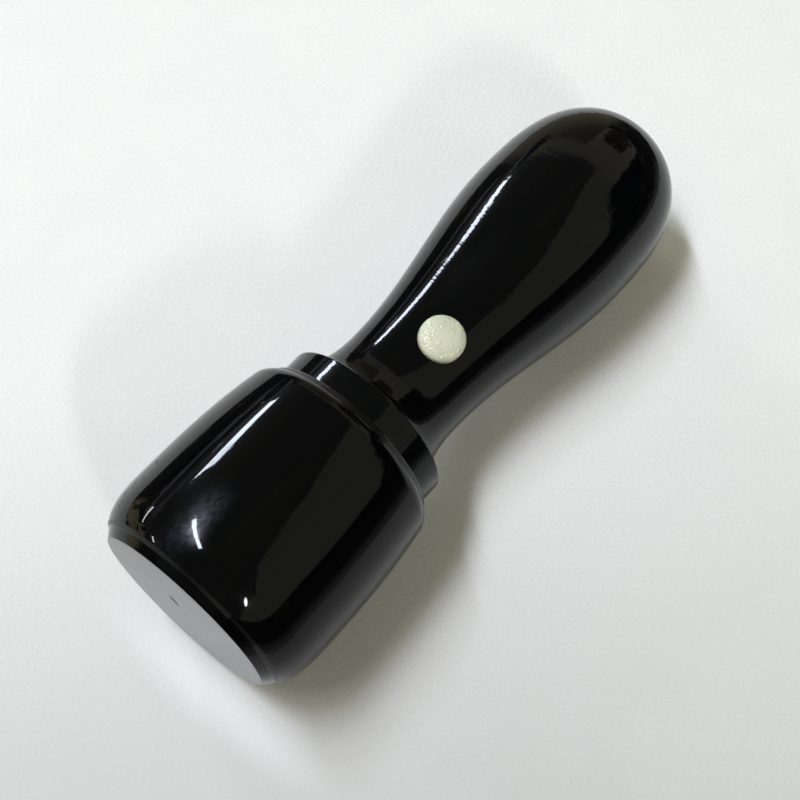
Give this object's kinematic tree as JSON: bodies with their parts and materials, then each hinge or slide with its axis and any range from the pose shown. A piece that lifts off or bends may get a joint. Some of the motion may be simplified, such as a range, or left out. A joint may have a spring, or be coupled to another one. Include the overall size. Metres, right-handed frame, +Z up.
{
  "type": "company seal stamp",
  "caption": "Round hand seal turned in polished black horn, with a domed grip, an inlaid index dot and a push-on cap over its engraved face, lying on its side.",
  "frame": {"origin": "on the surface that the seal lies on, below the centre of its bounding box", "axes": "+Z up from that surface, +X along the seal from the cap's foot towards the grip's crown, +Y to the left of that"},
  "size_m": [0.0648, 0.0218, 0.0219],
  "materials": {
    "horn": "polished black horn",
    "cap_horn": "polished black horn, lathe-turned",
    "dot": "pale cream-green, polished"
  },
  "bodies": {
    "seal": {"seal_body": "horn", "index_dot": "dot"},
    "cap": {"cap": "cap_horn"}
  },
  "joints": [
    {"name": "cap_slide", "type": "slide", "parent": "seal", "child": "cap", "axis": [-0.9991, 0, 0.0416], "range_m": [0, 0.025]}
  ]
}
